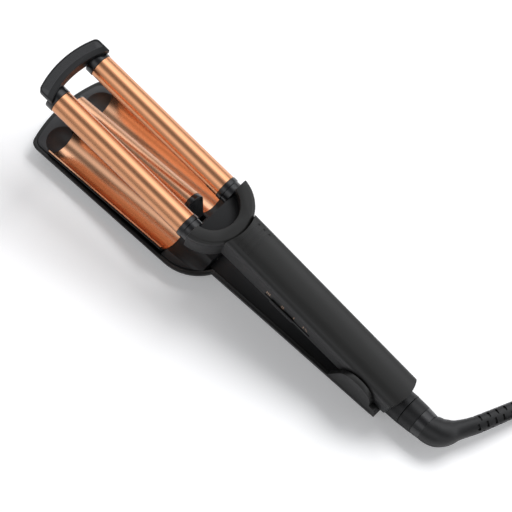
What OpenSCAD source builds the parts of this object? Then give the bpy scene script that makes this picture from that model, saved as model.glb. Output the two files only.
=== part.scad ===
// Hair waver: two hinged arms, twin barrels that close into a waved plate, swivel cord.
// Inside the modules x runs towards the tip, y to the tool's left and z up from the table;
// the hinge pin crosses x = 0. tool() turns a piece into the part's frame, whose +X runs
// towards the cord. arm() is the opened upper arm and closed() the plate's own tilt, both
// measured from the hinge pin.

/* [Hinge] */
// Height of the hinge pin above the table
hinge_z = 31.5; // [30:0.5:35]
// Angle of the open upper arm above level
rest_angle = 10.75; // [9:0.25:12]
// Angle of the closed upper arm, and of the waved plate, below level
close_angle = 3.25; // [2.5:0.25:3.5]
// Diameter of the hinge pin
pin_d = 5; // [4:0.5:6]
// Radius of the near hinge ear of the lower shell
ear_r = 15.7; // [14:0.1:16.5]
// Thickness of the near hinge ear and of the two tabs behind the hinge
ear_t = 4; // [3:0.5:5]
// Radius of the far hinge ear, small enough to lie hidden under the upper arm
far_ear_r = 4.5; // [4.4:0.1:5]
// Thickness of the far hinge ear
far_ear_t = 1.6; // [1.4:0.1:2]
// Gap between the upper arm and an ear
ear_gap = 0.6; // [0.4:0.1:1]

/* [Barrels] */
// Outer diameter of a barrel
barrel_d = 19; // [17:0.5:20]
// Distance between the two barrels' axes
barrel_pitch = 41.8; // [40:0.2:43]
// Length of the bare barrels
barrel_len = 131; // [120:1:135]
// Distance from the hinge to the barrels' root
barrel_start = 173.3; // [172:0.1:176]
// Height of the barrels' axes over the hinge, square to the arm
barrel_lift = 4.1; // [3.6:0.1:4.6]
// Wall of a barrel
barrel_wall = 1.2; // [0.8:0.1:1.6]
// Diameter of the black collars at the barrels' ends
collar_d = 19.8; // [19:0.1:21]
// Length of a root collar
root_collar_len = 9.3; // [7:0.1:10]
// Length of a tip collar
tip_collar_len = 6.3; // [5:0.1:7]

/* [Waved plate] */
// Gap for the hair between a closed barrel and its trough
hair_gap = 3.7; // [3:0.1:4]
// Thickness of the plate
plate_t = 1; // [0.8:0.1:1.2]
// Distance from the barrels' root to the plate's root edge
plate_in = 10.7; // [9:0.1:12]
// How far the plate runs past the barrels' end
plate_over = 3.2; // [1:0.1:3.2]
// Radius of the ridge's round top
ridge_r = 9.3; // [8.5:0.1:9.6]
// Height of the ridge's centre over the closed barrels' axes
ridge_rise = 23.2; // [21:0.1:24]
// Thickness of the ridge's root cap
root_cap_t = 4; // [3:0.5:5]
// Thickness of the ridge's tip cap
tip_cap_t = 1.5; // [1:0.1:1.5]
// Thickness of the cradle that carries the plate
cradle_t = 1.2; // [1:0.1:1.4]

/* [Tray] */
// Clearance between the plate's cradle and the lower shell's wall
rim_gap = 0.25; // [0.2:0.05:0.4]
// Distance from the barrels' end to the tray's tip
tray_reach = 26; // [25.5:0.1:31]
// Distance from the barrels' root to the centre of the tray's round root
tray_root_in = 4.7; // [3:0.1:6]
// Radius of the tray's shallow tip curve
tip_arc_r = 108; // [90:1:130]
// Radius of the tray's tip corners
tip_corner_r = 7; // [5:0.5:9]
// Height of the rim
rim_z = 14.5; // [13.5:0.1:15]
// Wall of the lower shell
shell_wall = 2.6; // [2.2:0.1:2.8]
// Floor of the lower shell
floor_t = 2; // [1.6:0.1:2.1]
// Sideways rounding of the tray's underside
tray_round = 12; // [10:0.5:12]
// Height of the root and tip blocks
block_z = 16; // [15:0.1:16.2]
// Distance between the blocks' edge and the tray's edge
block_inset = 3.4; // [3.1:0.1:4]

/* [Lower handle] */
// Width of the lower handle
lower_w = 40.8; // [40.6:0.1:43]
// Distance from the hinge to the lower shell's tail
lower_tail = 21; // [20:0.5:23]
// Sideways rounding of the lower handle's underside
handle_round = 7; // [5:0.5:8]
// Height of the channel cover's top
cover_z = 9.5; // [8.5:0.1:10]
// Thickness of the channel cover
cover_t = 1.5; // [1.2:0.1:2]

/* [Upper handle] */
// Width of the upper handle
upper_w = 31.2; // [30.8:0.1:31.2]
// Distance from the hinge to the upper shell's tail
upper_tail = 32; // [30:0.5:33]
// Wall of the upper shell
grip_wall = 2; // [1.6:0.1:2.2]
// Height of the dome over the seam
dome_h = 8; // [7:0.5:10]
// Height of the seam over the hinge
seam_h = 11; // [10:0.5:12]
// Slope of the seam, rising towards the tip
seam_slope = 4.2; // [3.5:0.1:4.5]
// Depth of the upper frame's lower edge under the hinge
frame_drop = 5.5; // [5:0.1:5.8]
// Slope of that edge
frame_slope = 1; // [0.5:0.1:1.5]
// Wall of the upper frame
frame_wall = 2.2; // [1.8:0.1:2.2]
// Number of grip grooves
groove_count = 3; // [2:1:4]
// Distance between grip grooves
groove_pitch = 5.3; // [4.5:0.1:6]
// Width of a groove
groove_w = 2.2; // [1.2:0.1:2.6]
// Length of a groove
groove_len = 23; // [18:0.5:25]

/* [Yoke] */
// Outer radius of the crescent
yoke_r = 31.5; // [31:0.1:33]
// Inner radius of the crescent
yoke_in_r = 20.3; // [19:0.1:21]
// Height of the crescent's top over the hinge
yoke_top = 20.6; // [19:0.1:22]
// Height of the recess floor over the hinge
yoke_floor = 9; // [8:0.5:10]
// Depth of the yoke's underside under the hinge
yoke_drop = 4; // [3:0.1:4.2]
// Thickness of the crescent outside the frame
yoke_cap_t = 5; // [4:0.5:6]

/* [Tip bridge] */
// Distance from the barrels' end to the bridge's outer edge
bridge_reach = 20.1; // [19:0.1:21.5]
// Depth of the bridge, from its outer edge to the window
bridge_depth = 12; // [11:0.5:12]
// Width of the bridge
bridge_w = 60; // [58:0.5:61]
// Radius of the bridge's outer curve
bridge_arc_r = 82; // [70:1:95]
// Height of the bridge's top over the hinge
bridge_top = 17.4; // [16.4:0.1:18]
// Height of the bridge's underside over the hinge
bridge_low = 4.2; // [4.1:0.1:6]
// Height over the hinge below which the bridge's ends slope in
bridge_lip = 12.4; // [11:0.1:13]
// How far the ends slope in
bridge_taper = 6; // [4:0.5:7]
// Radius of the bridge's two bosses behind the collars
bridge_boss_r = 6.5; // [6:0.1:7]
// Depth of the textured pad, from the bridge's outer edge
pad_depth = 7.6; // [6:0.1:8.5]
// Thickness of the pad
pad_t = 1; // [0.8:0.1:1.4]
// Width of the rim round the pad
pad_rim = 1.1; // [0.9:0.1:1.5]
// Depth of the pad's face below that rim
pad_sunk = 0.3; // [0.2:0.1:0.5]

/* [Temperature slider] */
// Distance from the hinge to the middle of the slide button
knob_x = 77.8; // [76:0.1:80]
// Length of the slide button
knob_len = 23; // [20:0.5:24]
// Height of the slide button
knob_h = 5; // [4:0.5:6]
// Thickness of the slide button outside the frame
knob_t = 1.2; // [1:0.1:1.6]
// Travel of the button towards the tip
slide_tip = 14.5; // [13:0.5:15]
// Travel of the button towards the tail
slide_tail = 24.5; // [23:0.5:25]

/* [Heaters] */
// Length of each heating element
heater_len = 60; // [50:1:70]
// Width of each heating element
heater_w = 10; // [8:0.5:11]
// Thickness of the ridge's heating element
ridge_heater_t = 9; // [7:0.5:9]
// Distance from the plate's root edge to its heating elements
heater_in = 24; // [18:1:26]
// Distance from a barrel's root to its heating element
rod_heater_in = 25; // [20:1:27]

/* [Cord] */
// Height of the cord swivel's axis
swivel_z = 15.8; // [15.5:0.1:16]
// Radius of the fixed neck
neck_r = 12.6; // [12.3:0.1:12.7]
// Distance from the hinge to the neck's end
neck_end = 36.7; // [35:0.1:38]
// Length of the turning barrel behind the neck
turn_len = 11.3; // [10:0.1:12]
// Radius of the turning barrel at its tail
turn_r = 11.8; // [11.4:0.1:12]
// Length of the glossy collar
gloss_len = 8; // [7:0.1:9]
// Radius of the swivel's end at the elbow
elbow_r = 11; // [10.5:0.1:11.2]
// Radius of the swivel's journal
journal_r = 8.9; // [8:0.1:9]
// Diameter of the cord
cord_d = 6; // [5.5:0.1:6]
// Width of the plug
plug_w = 35.3; // [34:0.1:36]
// Thickness of the plug
plug_h = 13.7; // [13:0.1:14]
// Length of the plug's moulded body
plug_len = 36; // [34:0.5:38]

/* [Hidden] */
$fn = 64;
seat = 0.05;     // clearance of a seat inside one body
running = 0.08;  // radial running clearance of a turning fit
slack = 0.3;     // gap between parts that lie beside each other
cut = 1;         // how far a cutter runs past a face
part_h = 0.02;   // height of a slab that only carries an outline
far = 60;        // reach of a cutter that runs past the whole arm

trough_r = barrel_d / 2 + hair_gap;
trough_y = barrel_pitch / 2;
cradle_in = trough_r + plate_t + seat;
cradle_out = cradle_in + cradle_t;
barrel_end = barrel_start + barrel_len;
plate_start = barrel_start + plate_in;
plate_end = barrel_end + plate_over;
tray_w = 2 * (trough_y + cradle_out + rim_gap + shell_wall);
tray_end = barrel_end + tray_reach;
tray_root = barrel_start + tray_root_in;
bridge_end = barrel_end + bridge_reach;
root_cap_x = plate_start - root_cap_t;
tip_cap_x = plate_end + tip_cap_t;
ear_y = upper_w / 2 + ear_gap;
yoke_x = barrel_start - 5.7;
yoke_front = barrel_start - root_collar_len;
frame_top_yoke = yoke_top - yoke_cap_t;
bridge_cx = bridge_end - bridge_arc_r;

// ---- outlines -----------------------------------------------------------------------------

function arc(cx, cy, r, a0, a1, n = 12) =
    [for (i = [0:n]) let (a = a0 + (a1 - a0) * i / n) [cx + r * cos(a), cy + r * sin(a)]];

// Plan of the tray, drawn in by e: a half circle at the root, a shallow arc at the tip.
function tray_plan(e) =
    let (half = tray_w / 2 - e, big = tip_arc_r - e, c = tip_corner_r, cx = tray_end - tip_arc_r,
         lean = asin((half - c) / (big - c)), fx = cx + (big - c) * cos(lean))
    concat(arc(tray_root, 0, half, 90, 270, 32), arc(fx, c - half, c, -90, -lean, 5),
        arc(cx, 0, big, -lean, lean, 14), arc(fx, half - c, c, lean, 90, 5));

// Plan of the lower handle, drawn in by e, with round corners at its tail.
function handle_plan(e) =
    let (half = lower_w / 2 - e, c = 4, x0 = e - lower_tail)
    concat(arc(x0 + c, half - c, c, 90, 180, 5), arc(x0 + c, c - half, c, 180, 270, 5),
        [[tray_root, -half], [tray_root, half]]);

// How far the underside is drawn in at the share k of the rim's height: a quarter ellipse.
function belly(k, side) = side * (1 - sqrt(1 - pow(1 - k, 2)));

// Section of the waved plate, t under the hair's side: ridge, flanks and the two troughs.
function wave_half(t) =
    let (r = ridge_r - t, big = trough_r + t, gap = norm([trough_y, ridge_rise]),
         down = atan2(trough_y, ridge_rise) + acos((ridge_r + trough_r) / gap), a = down - 90)
    concat(arc(0, barrel_lift + ridge_rise, r, 90, a, 12),
        arc(trough_y, barrel_lift, big, 180 + a, 360, 24));
function wave_line(t) =
    let (h = wave_half(t), n = len(h))
    concat([for (i = [n - 1:-1:1]) [-h[i][0], h[i][1]]], h);
function backwards(v) = [for (i = [len(v) - 1:-1:0]) v[i]];

// Half of a rounded dome, w wide and h high.
function dome(w, h, n = 28) =
    [for (i = [0:n]) let (a = 180 * i / n, p = 0.74)
        [sign(cos(a)) * w / 2 * pow(abs(cos(a)), p), h * pow(abs(sin(a)), p)]];

// ---- frames and helpers ---------------------------------------------------------------------

module tool() rotate([0, 0, 180]) children();
module arm() tool() translate([0, 0, hinge_z]) rotate([0, -rest_angle, 0]) children();
module closed() tool() translate([0, 0, hinge_z]) rotate([0, close_angle, 0]) children();
module along_seam() translate([0, 0, seam_h]) rotate([0, -seam_slope, 0]) children();
module both_sides() for (s = [-1, 1]) scale([1, s, 1]) children();

// Extrudes a section drawn in y and z from x0 to x1.
module run(x0, x1) translate([x0, 0, 0]) rotate([90, 0, 90]) linear_extrude(x1 - x0) children();
// Extrudes a side view drawn in x and z from y0 to y1.
module side(y0, y1) translate([0, y1, 0]) rotate([90, 0, 0]) linear_extrude(y1 - y0) children();
// Extrudes a plan from z0 to z1.
module up(z0, z1) translate([0, 0, z0]) linear_extrude(z1 - z0) children();
module rod(x0, x1, r, r2 = undef)
    translate([x0, 0, 0]) rotate([0, 90, 0]) cylinder(h = x1 - x0, r1 = r, r2 = is_undef(r2) ? r : r2);
module cross_rod(y0, y1, r) translate([0, y1, 0]) rotate([90, 0, 0]) cylinder(h = y1 - y0, r = r);
module pipe(x0, x1, r, r_in) difference() {
    rod(x0, x1, r);
    rod(x0 - cut, x1 + cut, r_in);
}
module box(x0, x1, y0, y1, z0, z1) translate([x0, y0, z0]) cube([x1 - x0, y1 - y0, z1 - z0]);

// The bowl of the tray and of the handle, drawn in by e and lifted by z0.
module tray_form(e, z0) hull() for (k = [0:1 / 6:1.001]) translate([0, 0, z0 + k * rim_z])
    linear_extrude(part_h) polygon(tray_plan(e + belly(min(k, 1), tray_round)));
module handle_form(e, z0) hull() for (k = [0:1 / 6:1.001]) translate([0, 0, z0 + k * rim_z])
    linear_extrude(part_h) polygon(handle_plan(e + belly(min(k, 1), handle_round)));

// ---- lower arm -----------------------------------------------------------------------------

ear_front = ear_r + 10;
tab_z = 24;
rear_z = 17;
rear_t = 4;
ear_low = rim_z - 4;

tab_corner = 3;

// Side view of the tab behind the hinge.
module tab_side() {
    translate([-lower_tail, ear_low]) square([lower_tail, tab_z - ear_low - tab_corner]);
    translate([tab_corner - lower_tail, ear_low]) square([lower_tail - tab_corner, tab_z - ear_low]);
    translate([tab_corner - lower_tail, tab_z - tab_corner]) circle(tab_corner);
}
// Side view of the near ear: a disc round the pin that runs out along the rim.
module near_ear_side() {
    d = norm([ear_front, hinge_z - rim_z]);
    a = acos(ear_r / d) - atan2(hinge_z - rim_z, ear_front);
    translate([0, hinge_z]) circle(ear_r);
    polygon([[-ear_r, ear_low], [ear_front, ear_low], [ear_front, rim_z],
        [ear_r * cos(a), hinge_z + ear_r * sin(a)], [0, hinge_z], [-ear_r, hinge_z]]);
    translate([-ear_r, ear_low]) square([2 * ear_r, tab_z - ear_low]);
}
// Side view of the far ear: a slim post under a small disc.
module far_ear_side() {
    translate([0, hinge_z]) circle(far_ear_r);
    polygon([[-2 * far_ear_r, ear_low], [ear_front, ear_low], [ear_front, rim_z],
        [far_ear_r, hinge_z], [-far_ear_r, hinge_z], [-2 * far_ear_r, tab_z]]);
}

root_block_len = 29;   // the root block's length behind the ridge
cover_screw_in = 30;   // from the hinge, and from the root block, to a screw of the cover
block_screw_in = 14;   // from the root block's edge to its screws, and from its middle
root_block_x = root_cap_x - root_block_len;
cover_screws = [[cover_screw_in, 0], [root_block_x - cover_screw_in, 0]];
block_screws = [for (s = [1, -1]) [root_block_x + block_screw_in, block_screw_in * s]];
screw_places = concat(cover_screws, block_screws);
screw_head_r = 2.6;
screw_boss_r = 3.4;
screw_r = 1.4;
pin_in_ear = 2.6;

module lower_shell() color([0.09, 0.09, 0.1]) tool() difference() {
    union() {
        difference() {
            union() {
                tray_form(0, 0);
                handle_form(0, 0);
            }
            tray_form(shell_wall, floor_t);
            handle_form(shell_wall, floor_t);
        }
        both_sides() side(ear_y, ear_y + ear_t) tab_side();
        side(ear_y, ear_y + ear_t) near_ear_side();
        side(-ear_y - far_ear_t, -ear_y) far_ear_side();
        box(-lower_tail, rear_t - lower_tail, -ear_y - cut, ear_y + cut, ear_low, rear_z);
    }
    translate([0, 0, swivel_z]) rod(-lower_tail - cut, 0, neck_r + seat);
    translate([0, 0, hinge_z])
        cross_rod(-ear_y - far_ear_t - cut, ear_y + pin_in_ear + slack, pin_d / 2 + seat / 2);
    for (p = screw_places) translate([p[0], p[1], -cut]) {
        cylinder(h = floor_t + 2 * cut, r = screw_r + seat);
        cylinder(h = cut + 1, r = screw_head_r + seat);
    }
}

module trough_sweep(x0, x1, r) both_sides() translate([0, trough_y, barrel_lift]) rod(x0, x1, r);

// A block in the tray: the tray's inside, cut to the blocks' plan and height.
module block_form(x0, x1) intersection() {
    tray_form(shell_wall + slack, floor_t + slack);
    up(0, block_z) polygon(tray_plan(block_inset));
    box(x0, x1, -tray_w, tray_w, 0, block_z);
}
module tall_block(x0, x1) {
    intersection() {
        tray_form(shell_wall + slack, floor_t + slack);
        box(x0, x1, -tray_w, tray_w, 0, rim_z);
    }
    intersection() {
        up(rim_z - 3, block_z) polygon(tray_plan(block_inset));
        box(x0, x1, -tray_w, tray_w, 0, block_z);
    }
}

module root_block() color([0.14, 0.14, 0.15]) difference() {
    tool() tall_block(root_block_x, plate_start + cut);
    closed() {
        trough_sweep(root_block_x - far, plate_start + cut, trough_r);
        box(plate_start - slack, plate_start + far, -tray_w, tray_w, -far, far);
        box(root_cap_x - slack, plate_start + far, -ridge_r - slack, ridge_r + slack, -far, far);
    }
    tool() box(root_block_x - cut, plate_start + cut, -lead_gap, lead_gap, 0, lead_z + 4);
    tool() for (p = block_screws) translate([p[0], p[1], 0]) cylinder(h = 8, r = screw_r + seat);
}

scoop_in = 1.5;   // how far the scoops' centres lie behind the plate's tip edge
module tip_block() color([0.3, 0.3, 0.31]) difference() {
    tool() tall_block(plate_end - 12, tray_end);
    closed() {
        box(plate_end - far, plate_end + slack, -tray_w, tray_w, -far, far);
        both_sides() translate([plate_end - scoop_in, trough_y, barrel_lift])
            rotate([0, 90, 0]) sphere(trough_r + slack);
        box(plate_end - cut, tip_cap_x + slack, -ridge_r - slack, ridge_r + slack, -far, far);
    }
}

module wave_plate() color([0.86, 0.55, 0.42]) closed() run(plate_start, plate_end)
    polygon(concat(wave_line(0), backwards(wave_line(plate_t))));

// Outline that closes the ridge between its two flanks, down to the height low.
module ridge_section(low, t = 0) intersection() {
    polygon(concat(wave_line(t), [[trough_y, -far], [-trough_y, -far]]));
    translate([-ridge_r, low]) square([2 * ridge_r, 2 * ridge_rise]);
}
ridge_cap_low = barrel_lift - 2;

module ridge_root_cap() color([0.05, 0.05, 0.05]) closed()
    run(root_cap_x, plate_start - seat) ridge_section(ridge_cap_low);
module ridge_tip_cap() color([0.05, 0.05, 0.05]) closed()
    run(plate_end + seat, tip_cap_x) ridge_section(ridge_cap_low);

// The cradle follows the troughs' outside and stands on the shell with two feet at each side.
foot_places = [plate_start + 16, plate_end - 11.5];
foot_top = 12.5;
module cradle_pie() translate([trough_y, barrel_lift]) intersection() {
    circle(cradle_out);
    polygon([[0, 0], [2 * cradle_out, -2], [2 * cradle_out, -2 * cradle_out],
        [cradle_out * 0.8, -2 * cradle_out]]);
}
module plate_cradle() color([0.08, 0.08, 0.09]) difference() {
    union() {
        closed() both_sides() run(plate_start + slack, plate_end - slack) cradle_pie();
        tool() both_sides() for (x = foot_places) {
            box(x - 5, x + 5, trough_y - 4, trough_y + 3.5, floor_t + seat, foot_top);
            box(x - 5, x + 5, trough_y - 4, trough_y + 9, foot_top - 8.2, foot_top);
        }
    }
    closed() trough_sweep(0, tray_end + far, cradle_in);
}

heater_x = plate_start + heater_in;
bar_w = 2 * (ridge_r - plate_t - slack) - 3;
bar_top = barrel_lift + ridge_rise + ridge_r - plate_t - 5.6;
module ridge_heater() color([0.8, 0.8, 0.82]) closed()
    box(heater_x, heater_x + heater_len, -bar_w / 2, bar_w / 2,
        bar_top - ridge_heater_t, bar_top);
clip_t = 0.8;
module ridge_heater_clip() color([0.6, 0.62, 0.65]) closed() {
    box(heater_x + 6, heater_x + heater_len - 6, -bar_w / 2 - clip_t, bar_w / 2 + clip_t,
        bar_top + seat, bar_top + clip_t);
    both_sides() box(heater_x + 6, heater_x + heater_len - 6, bar_w / 2 + seat, bar_w / 2 + clip_t,
        bar_top - ridge_heater_t - 4, bar_top + clip_t);
}
pad_heater_t = 1.8;
trough_low = barrel_lift - trough_r - plate_t;
module trough_heaters() color([0.75, 0.75, 0.78]) closed() both_sides() difference() {
    box(heater_x, heater_x + heater_len, trough_y - heater_w / 2, trough_y + heater_w / 2,
        trough_low - pad_heater_t, barrel_lift);
    translate([0, trough_y, barrel_lift]) rod(0, tray_end, trough_r + plate_t + seat);
}
fuse_len = 11;
fuse_r = 2;
module lower_thermal_fuse() color([0.85, 0.8, 0.6]) closed()
    translate([heater_x + heater_len / 6, 0, bar_top - ridge_heater_t - fuse_r - 0.1])
        rod(0, fuse_len, fuse_r);

lead_r = 0.7;
lead_z = 5;
lead_gap = 7.5;
module lower_leads() color([0.75, 0.72, 0.66]) tool() for (y = [-6, -4.4, 4.4, 6])
    translate([0, y, lead_z]) rod(-4.9, heater_x, lead_r);

cover_half = lower_w / 2 - shell_wall - 1.7;
rib_len = 6;
rib_y = 7;
rib_t = 1.5;
rib_places = [cover_screw_in / 3, 2 * cover_screw_in, root_block_x - cover_screw_in - 10];
module channel_cover() color([0.06, 0.06, 0.07]) tool() {
    box(-4, root_block_x - slack, -cover_half, cover_half, cover_z - cover_t, cover_z);
    both_sides() for (x = rib_places)
        box(x, x + rib_len, rib_y, rib_y + rib_t, floor_t + seat, cover_z - cover_t + seat);
    for (p = cover_screws) translate([p[0], p[1], 0]) difference() {
        up(floor_t + seat, cover_z) circle(screw_boss_r);
        up(0, 8) circle(screw_r + seat);
    }
}
module lower_screws() color([0.5, 0.5, 0.52]) tool() for (p = screw_places) translate([p[0], p[1], 0.3]) {
    cylinder(h = 0.7, r = screw_head_r);
    cylinder(h = 7, r = screw_r);
}

module hinge_pin() color([0.75, 0.75, 0.77]) tool() translate([0, 0, hinge_z])
    cross_rod(-ear_y - far_ear_t, ear_y + pin_in_ear, pin_d / 2);

spring_wire = 1.4;
spring_r = pin_d / 2 + spring_wire / 2 + 1.2;
spring_turns = 6;
spring_pitch = 1.3;
upper_leg_lean = 8;
lower_leg_lean = 60;
lower_leg_len = (hinge_z - cover_z - spring_r * cos(lower_leg_lean) - spring_wire / 2) / sin(lower_leg_lean);
module return_spring() color([0.7, 0.7, 0.72]) tool() translate([0, 0, hinge_z]) {
    rotate([90, 0, 0]) rotate_extrude() for (i = [0:spring_turns])
        translate([spring_r, (i - spring_turns / 2) * spring_pitch]) circle(spring_wire / 2, $fn = 24);
    translate([0, -spring_turns / 2 * spring_pitch, 0]) rotate([0, upper_leg_lean - rest_angle, 0])
        translate([0, 0, -spring_r]) rod(0, 18, spring_wire / 2);
    translate([0, spring_turns / 2 * spring_pitch, 0]) rotate([0, lower_leg_lean, 0])
        translate([0, 0, -spring_r]) rod(0, lower_leg_len, spring_wire / 2);
}

journal_bore = journal_r + running;
neck_wall_x = 24;
neck_bore = journal_r + 2.1;
module swivel_neck() color([0.16, 0.16, 0.17]) tool() difference() {
    union() {
        translate([0, 0, swivel_z]) rod(-neck_end, -5, neck_r);
        box(-11, -5.2, -8, 8, floor_t + seat, swivel_z);
    }
    translate([0, 0, swivel_z]) {
        rod(-neck_end - cut, 0, journal_bore);
        rod(-neck_wall_x, 0, neck_bore);
    }
}
module contact_block() color([0.85, 0.83, 0.78]) tool() translate([0, 0, swivel_z])
    pipe(-19, -10.5, neck_bore - seat, ring_r + slack);

// ---- upper arm -----------------------------------------------------------------------------

shell_front = yoke_x - 24;
tail_arc_r = 29.5;
groove_x = shell_front - 10.6;
groove_depth = 0.5;
upper_screw_places = [20, shell_front - 16.6];

module tail_cut() difference() {
    box(-upper_tail - 20, tail_arc_r - upper_tail, -upper_w, upper_w, -far, far);
    translate([tail_arc_r - upper_tail, 0, -far - cut])
        cylinder(h = 2 * (far + cut), r = tail_arc_r, $fn = 96);
}
module yoke_well(r) translate([yoke_x, 0, -far]) cylinder(h = 3 * far, r = r, $fn = 96);

module upper_shell() color([0.07, 0.07, 0.08]) arm() {
    upper_skin();
    for (x = upper_screw_places) difference() {
        translate([x, 0, 0]) up(frame_edge(x) + frame_floor_t + slack, seam_line(x) + dome_h - 1) circle(3.2);
        translate([x, 0, 0]) up(-20, frame_edge(x) + 9.5) circle(screw_r + seat);
    }
}
module upper_skin() difference() {
    along_seam() run(-upper_tail - 4, shell_front + 8) polygon(dome(upper_w, dome_h));
    difference() {
        along_seam() translate([0, 0, -part_h]) run(-upper_tail - 6, shell_front + 20)
            polygon(dome(upper_w - 2 * grip_wall, dome_h - grip_wall + part_h));
        translate([grip_wall, 0, 0]) tail_cut();
    }
    along_seam() for (i = [0:groove_count - 1]) difference() {
        translate([groove_x - i * groove_pitch, 0, 0]) up(dome_h / 2, far) groove_plan();
        run(0, yoke_x) polygon(dome(upper_w - 2 * groove_depth, dome_h - groove_depth));
    }
    yoke_well(yoke_r + seat);
    tail_cut();
}

module groove_plan() {
    square([groove_w, groove_len - groove_w], center = true);
    for (s = [-1, 1]) translate([0, s * (groove_len - groove_w) / 2]) circle(groove_w / 2);
}

board_x0 = 32;
board_x1 = 120;
rail_h = 6;
rail_w = 1.6;
slot_h = 2.4;
knob_z = 1;
stem_len = 6;
boss_r = 6.5;
boss_in = 10;
frame_floor_x = 12;
frame_floor_t = 1.6;
tail_wall_low = 4;
tail_wall_x = 26;

function frame_edge(x) = x * tan(frame_slope) - frame_drop;
function seam_line(x) = seam_h + x * tan(seam_slope);

module frame_wall_side() polygon([[-upper_tail, frame_edge(-upper_tail)],
    [yoke_x - 20, frame_edge(yoke_x - 20)], [yoke_x - 20, seam_line(yoke_x - 20)],
    [-upper_tail, seam_line(-upper_tail)]]);

module upper_frame() color([0.27, 0.27, 0.28]) arm() difference() {
    union() {
        difference() {
            union() {
                both_sides() side(upper_w / 2 - frame_wall, upper_w / 2) frame_wall_side();
                side(1 - upper_w / 2, upper_w / 2 - 1) polygon([
                    [frame_floor_x, frame_edge(frame_floor_x) + slack],
                    [yoke_x - 20, frame_edge(yoke_x - 20) + slack],
                    [yoke_x - 20, frame_edge(yoke_x - 20) + frame_floor_t],
                    [frame_floor_x, frame_edge(frame_floor_x) + frame_floor_t]]);
                both_sides() box(board_x0 - 2, board_x1 + 8, upper_w / 2 - frame_wall - rail_w,
                    upper_w / 2 - frame_wall + seat, frame_drop - 5, rail_h);
                both_sides() cross_rod(boss_in, upper_w / 2, boss_r);
                difference() {
                    side(1 - upper_w / 2, upper_w / 2 - 1) polygon([[-upper_tail - 1, tail_wall_low],
                        [-tail_wall_x, tail_wall_low], [-tail_wall_x, seam_line(-tail_wall_x) - slack],
                        [-upper_tail - 1, seam_line(-upper_tail) - slack]]);
                    translate([tail_arc_r - upper_tail, 0, -far])
                        cylinder(h = 2 * far, r = tail_arc_r - frame_wall, $fn = 96);
                }
            }
            yoke_well(yoke_r - 1);
            translate([0, 0, frame_top_yoke + far]) yoke_well(yoke_r + seat);
            tail_cut();
        }
        difference() {
            up(-yoke_drop, frame_top_yoke) intersection() {
                translate([yoke_x, 0]) circle(yoke_r, $fn = 96);
                translate([0, -far]) square([yoke_front - seat, 2 * far]);
            }
            up(frame_floor_t - yoke_drop, far) translate([yoke_x, 0]) circle(yoke_r - 2, $fn = 96);
            box(yoke_x - yoke_r - cut, yoke_x - 20, frame_wall - upper_w / 2, upper_w / 2 - frame_wall,
                frame_floor_t - yoke_drop, far);
        }
    }
    cross_rod(-upper_w, upper_w, pin_d / 2 + seat);
    for (x = upper_screw_places) translate([x, 0, frame_edge(x) - cut]) {
        cylinder(h = 4, r = screw_r + seat);
        cylinder(h = cut + 0.9, r = screw_head_r + seat);
    }
    box(knob_x - slide_tail - stem_len / 2 - slack, knob_x + slide_tip + stem_len / 2 + slack,
        upper_w / 2 - frame_wall - cut, upper_w / 2 + cut, knob_z - slot_h / 2 - slack,
        knob_z + slot_h / 2 + slack);
    both_sides() box(knob_x - slide_tail - stem_len, knob_x + slide_tip + stem_len,
        upper_w / 2 - frame_wall - 3, upper_w / 2 - frame_wall, knob_z - slot_h, rail_h + cut);
}

// The crescent: a ring open towards the barrels, its upper edge rounded off.
module crescent(r_out, r_in) intersection() {
    difference() {
        translate([yoke_x, 0]) circle(r_out, $fn = 96);
        translate([yoke_x, 0]) circle(r_in, $fn = 96);
    }
    translate([0, -far]) square([yoke_front, 2 * far]);
}
edge_round = 3;
module yoke_cover() color([0.09, 0.09, 0.1]) arm() {
    up(yoke_floor + seat, frame_top_yoke + seat) crescent(yoke_r - 2 - slack, yoke_in_r);
    intersection() {
        up(frame_top_yoke + seat, yoke_top) crescent(yoke_r, yoke_in_r);
        translate([yoke_x, 0, 0]) rotate_extrude($fn = 96) polygon(concat([[0, 0], [yoke_r, 0]],
            arc(yoke_r - edge_round, yoke_top - edge_round, edge_round, 0, 90, 8), [[0, yoke_top]]));
    }
}
module barrel_mount() color([0.06, 0.06, 0.065]) arm() difference() {
    intersection() {
        yoke_well(yoke_r - 2 - slack);
        union() {
            box(yoke_x - far, yoke_front - seat, -far, far, yoke_floor - 1.8, yoke_floor);
            box(yoke_front - 4, yoke_front - seat, -far, far, frame_floor_t - yoke_drop + seat, yoke_floor);
        }
    }
    both_sides() translate([0, trough_y, barrel_lift]) rod(yoke_x - 20, yoke_front + cut, 3);
}

module at_barrel(s) arm() translate([0, s * trough_y, barrel_lift]) children();
module barrel(s) color([0.88, 0.57, 0.43]) at_barrel(s)
    pipe(barrel_start, barrel_end, barrel_d / 2, barrel_d / 2 - barrel_wall);
module left_barrel() barrel(1);
module right_barrel() barrel(-1);

spigot_r = barrel_d / 2 - barrel_wall - seat;
step_len = 4;
module root_collar(s) color([0.03, 0.03, 0.035]) at_barrel(s) difference() {
    union() {
        rod(yoke_front, barrel_start - step_len, collar_d / 2 - 0.7);
        rod(barrel_start - step_len, barrel_start - seat, collar_d / 2);
        rod(barrel_start - cut, barrel_start + 5, spigot_r);
    }
    rod(yoke_front - cut, barrel_start + 6, 4);
}
module left_root_collar() root_collar(1);
module right_root_collar() root_collar(-1);

module tip_collar(s) color([0.03, 0.03, 0.035]) at_barrel(s) {
    rod(barrel_end - 5, barrel_end + cut, spigot_r);
    rod(barrel_end + seat, barrel_end + tip_collar_len, collar_d / 2);
}
module left_tip_collar() tip_collar(1);
module right_tip_collar() tip_collar(-1);

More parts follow.
